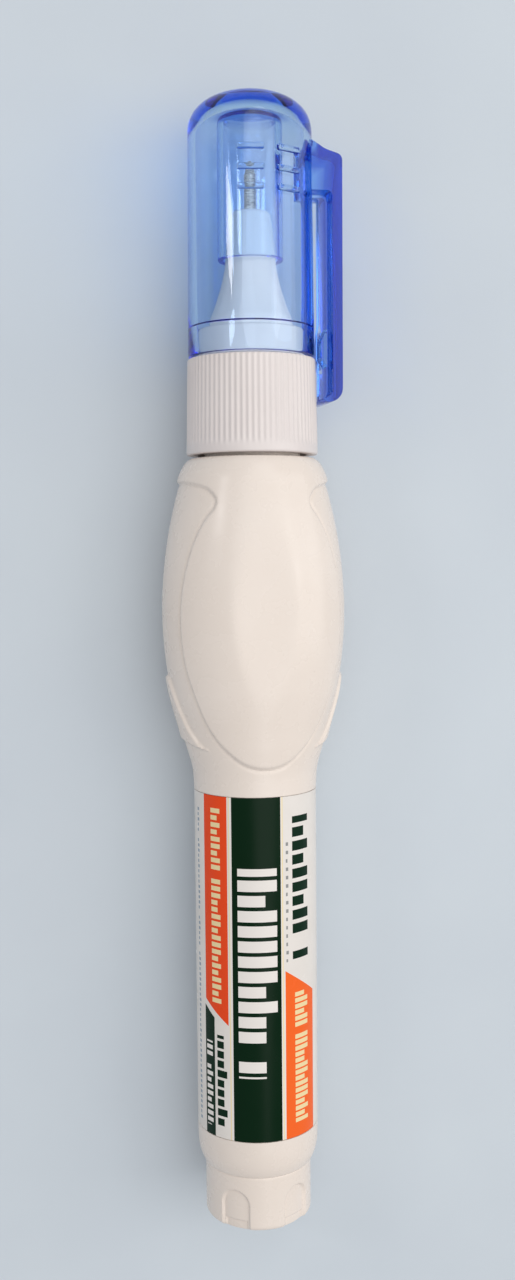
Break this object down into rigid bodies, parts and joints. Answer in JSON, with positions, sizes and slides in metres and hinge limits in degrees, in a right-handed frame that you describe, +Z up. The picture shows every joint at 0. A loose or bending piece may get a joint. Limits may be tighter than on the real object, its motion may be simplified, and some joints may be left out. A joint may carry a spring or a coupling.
{
  "type": "correction pen",
  "caption": "Squeezable correction-fluid pen lying on its side: oval-bellied bottle, sprung needle tip, ribbed collar and a clear push-on cap with a pocket clip.",
  "frame": {"origin": "centre of the bounding box in X and Y, on the surface that the pen lies on", "axes": "+Y along the pen's axis from its base end to the cap's dome, +X towards the pocket clip, +Z up, out of the front squeeze wall"},
  "size_m": [0.0216, 0.132, 0.0182],
  "materials": {
    "bottle_white": "satin-gloss blow-moulded polyethylene, warm white",
    "nozzle_white": "satin moulded polypropylene, cooler white",
    "clear_blue": "clear blue polystyrene, polished",
    "label_print": "printed gloss film in dark green, orange and white, with no lettering",
    "steel": "bright drawn stainless steel",
    "spring_steel": "drawn spring wire"
  },
  "bodies": {
    "bottle": {"bottle": "bottle_white", "label": "label_print", "nozzle": "nozzle_white", "tip_tube": "steel", "spring_stop": "nozzle_white", "valve_spring": "spring_steel"},
    "cap": {"cap": "clear_blue"},
    "needle": {"valve_needle": "steel"},
    "front_wall": {"front_squeeze_wall": "bottle_white"},
    "back_wall": {"back_squeeze_wall": "bottle_white"},
    "ball_1": {"mixing_ball_1": "steel"},
    "ball_2": {"mixing_ball_2": "steel"}
  },
  "joints": [
    {"name": "cap_pull", "type": "slide", "parent": "bottle", "child": "cap", "axis": [0, 1, 0], "range_m": [0, 0.032]},
    {"name": "needle_press", "type": "slide", "parent": "bottle", "child": "needle", "axis": [0, -1, 0], "range_m": [0, 0.0005], "stiffness_N_per_m": 200, "springref_m": -0.0002, "deforming": ["valve_spring"]},
    {"name": "front_squeeze", "type": "slide", "parent": "bottle", "child": "front_wall", "axis": [0, 0, -1], "range_m": [0, 0.0015], "stiffness_N_per_m": 2500},
    {"name": "back_squeeze", "type": "slide", "parent": "bottle", "child": "back_wall", "axis": [0, 0, 1], "range_m": [0, 0.0015], "stiffness_N_per_m": 2500},
    {"name": "ball_1_shake", "type": "slide", "parent": "bottle", "child": "ball_1", "axis": [0, 1, 0], "range_m": [-0.02, 0.052]},
    {"name": "ball_2_shake", "type": "slide", "parent": "bottle", "child": "ball_2", "axis": [0, 1, 0], "range_m": [-0.02, 0.052]}
  ]
}
